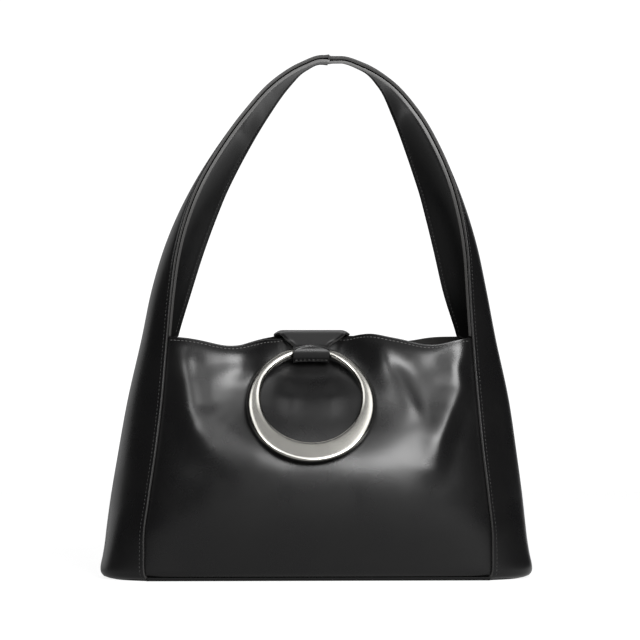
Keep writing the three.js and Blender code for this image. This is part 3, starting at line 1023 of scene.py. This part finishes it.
def tabProfile():
    # the outer face seen from the side, as forward and up places, in runs from the back to the loop
    backZ = np.linspace(tabCut["backEnd"], tabCut["backTop"], tabCut["backSteps"])
    offset = tabCut["leather"] + tabCut["standoff"]
    back = np.stack([-panelDepth(1, np.full_like(backZ, tabX), backZ) - offset, backZ], axis=1)
    top, turn = tabCut["top"], tabCut["shoulderRound"]
    backCorner = np.array([back[-1, 0] + tabCut["backTurn"], top])
    corner = np.array([tabCut["shoulder"], top])
    centre = np.array([-tabCut["hingeY"], tabCut["hingeZ"]])
    radius = tabCut["bore"] + tabCut["leather"]
    toCentre = centre - corner
    slope = math.atan2(toCentre[1], toCentre[0]) + math.asin(radius / np.linalg.norm(toCentre))
    down = np.array([math.cos(slope), math.sin(slope)])
    touch = slope + math.pi / 2
    small = tabCut["returnRadius"]
    folded = 2 * tabCut["leather"] + tabCut["seamGap"]
    leave = touch + math.acos((radius - folded - small) / (radius + small))
    returnCentre = centre + (radius + small) * np.array([math.cos(leave), math.sin(leave)])
    loop = arc(centre, radius, touch, leave - 2 * math.pi, 70)
    back2 = arc(returnCentre, small, leave + math.pi, touch + 2 * math.pi, 18)
    return [
        back,
        quadratic(back[-1], backCorner, backCorner + (turn, 0)),
        quadratic(corner - (turn, 0), corner, corner + down * turn),
        np.concatenate([loop, back2, [back2[-1] - down * tabCut["returnRun"]]]),
    ]


def makeTab():
    runs = tabProfile()
    ends = []
    line = runs[0]
    for run in runs[1:]:
        ends.append(lengthAlong(line)[-1])
        line = np.concatenate([line, run])
    total = lengthAlong(line)[-1]
    sewnEnd = ends[0] / total
    taperStart = (ends[2] - lengthAlong(runs[2])[-1]) / total
    foldEnd = ends[2] / total
    taperEnd = (ends[2] + np.linalg.norm(runs[3][0] - runs[2][-1])) / total
    neckEnd = taperEnd + tabCut["neckRun"] / total
    profile = resample(line, tabCut["along"] + 1)

    def place(u, v):
        row = np.clip(np.round(v * tabCut["along"]).astype(int), 0, tabCut["along"])
        forward, z = profile[row, 0], profile[row, 1]
        width = np.interp(
            v,
            (sewnEnd, taperStart - tabCut["taperLead"], foldEnd, taperEnd, neckEnd),
            [tabCut[key] for key in ("width", "width", "foldWidth", "neckWidth", "loopWidth")],
        )
        across = -u * width / 2 + tabCut["lean"] * (1 - smoothStep(v, foldEnd, taperEnd))
        hugEnd, hugNone = (share * sewnEnd for share in tabCut["hug"])
        hug = 1 - smoothStep(v, hugEnd, hugNone)
        sway = hug * (panelDepth(1, tabX + across, z) - panelDepth(1, tabX + 0 * across, z))
        overMouth = smoothStep(v, sewnEnd, tabCut["droopRise"] * sewnEnd)
        overMouth = overMouth * (1 - smoothStep(v, taperStart - tabCut["droopLead"], foldEnd))
        roll = np.clip((np.abs(u) - tabCut["droopFrom"]) / (1 - tabCut["droopFrom"]), 0, 1)
        droop = tabCut["droop"] * roll**2 * overMouth
        points = np.stack([tabX + across, sway - forward, z - droop], axis=-1)
        pastTaper = (v - taperEnd) * total
        fromLoop = pastTaper - tabCut["stepDrop"] + tabCut["stepRise"] * (1 - u**2)
        raised = smoothStep(fromLoop, -tabCut["stepEdge"], tabCut["stepEdge"])
        step = tabCut["step"] * raised * (1 - smoothStep(fromLoop, *tabCut["stepFade"]))
        step = step + tabCut["bead"] * gauss(fromLoop - tabCut["beadPlace"], tabCut["beadWidth"])
        fade = tabCut["faceFade"]
        onFace = smoothStep(v, taperStart, foldEnd) * (1 - smoothStep(v, taperEnd - fade, taperEnd + fade))
        fromEdge = (1 - np.abs(u)) * width / 2
        step = step - tabCut["edgeFall"] * (1 - smoothStep(fromEdge, *tabCut["edgeWidth"])) * onFace
        nearLoop = gauss(pastTaper + tabCut["flarePlace"], tabCut["flareRun"])
        step = step + tabCut["neckFlare"] * smoothStep(np.abs(u), tabCut["flareFrom"], 1) * nearLoop
        return points + sheetNormals(points) * step[..., None]

    bm, points = bendSheet(tabCut["across"], tabCut["along"], place)
    piece = finishPiece(bm, "closure_tab_hide", [glossyHide, paintedEdge], "bag", "closure_tab")
    thicken(piece, tabCut["leather"], tabCut["rounding"], rim=1)
    stitches = bmesh.new()
    normals = sheetNormals(points)
    sewnRows = int(sewnEnd * tabCut["along"])
    for fromEnd in (False, True):
        sewRow(stitches, *lineInFromEdge(points[2:sewnRows], tabCut["stitchInset"], fromEnd))
    sewRow(stitches, points[2, 1:-1], normals[2, 1:-1])
    loopRow = int((taperEnd + tabCut["loopSeam"] * (1 - taperEnd)) * tabCut["along"])
    sewRow(stitches, points[loopRow, 2:-2], normals[loopRow, 2:-2])
    finishPiece(stitches, "tab_stitches", [paleThread], "bag")


makeTab()
print("closing tab made")


# ring

ringCut = {
    "radius": 55.2,
    "holeRadius": 43.0,
    "holeRise": 5.1,
    "front": (3.7, 3.8),  # half thickness at the top and at the bottom
    "back": (3.7, 3.4),
    "backSquareness": 2.2,
    "lowDrop": 0.4,  # the outer edge hangs a little lower than a circle
    "tiltDeg": 28.7,
    "shift": -1.0,  # slid to the left in its loop
    "around": 160,
    "section": 48,
    "squareness": (2.3, 7.0),  # of the front, at the top and at the bottom
}


def makeRing():
    bm = bmesh.new()
    matrix = Matrix.Translation((1, 0, 0)) @ Matrix.Rotation(math.pi / 2, 4, "X")
    bmesh.ops.create_circle(bm, segments=ringCut["section"], radius=0.5, matrix=matrix)
    bmesh.ops.spin(
        bm,
        geom=bm.verts[:] + bm.edges[:],
        cent=(0, 0, 0),
        axis=(0, 0, 1),
        angle=2 * math.pi,
        steps=ringCut["around"],
        use_merge=True,
    )
    outer, hole, rise = ringCut["radius"], ringCut["holeRadius"], ringCut["holeRise"]
    sag = (tabCut["loopWidth"] / 2 + abs(ringCut["shift"])) ** 2 / (outer + hole)
    drop = outer - (outer - hole - rise) / 2 - sag / 2
    squareTop, squareBottom = ringCut["squareness"]
    for vert in bm.verts:
        turn = Vector((vert.co.x, vert.co.y)).normalized()
        roll = math.atan2(vert.co.z, math.hypot(vert.co.x, vert.co.y) - 1)
        low = (1 - turn.y) / 2
        inward = math.cos(roll) < 0
        share = low**2 if inward else low**4
        square = squareTop + (squareBottom - squareTop) * share
        if vert.co.z < 0:
            square = ringCut["backSquareness"]
        power = 2 / square
        across = math.copysign(abs(math.cos(roll)) ** power, math.cos(roll))
        deep = math.copysign(abs(math.sin(roll)) ** power, math.sin(roll))
        inside = turn * hole + Vector((0, rise))
        outside = turn * outer - Vector((0, ringCut["lowDrop"] * low**2))
        place = inside.lerp(outside, (1 + across) / 2)
        atTop, atBottom = ringCut["front"] if deep > 0 else ringCut["back"]
        depth = deep * (atTop + (atBottom - atTop) * low)
        vert.co = Vector((place.x, place.y - drop, depth)) * mm
    bmesh.ops.remove_doubles(bm, verts=bm.verts, dist=1e-6)
    bmesh.ops.recalc_face_normals(bm, faces=bm.faces)
    swing = Matrix.Rotation(math.radians(90 - ringCut["tiltDeg"]), 4, "X")
    hang = Matrix.Translation(Vector((tabX + ringCut["shift"], tabCut["hingeY"], tabCut["hingeZ"])) * mm)
    bmesh.ops.transform(bm, matrix=hang @ swing, verts=bm.verts)
    finishPiece(bm, "satin_ring", [satinNickel], "ring", "ring")


makeRing()
print("ring made")
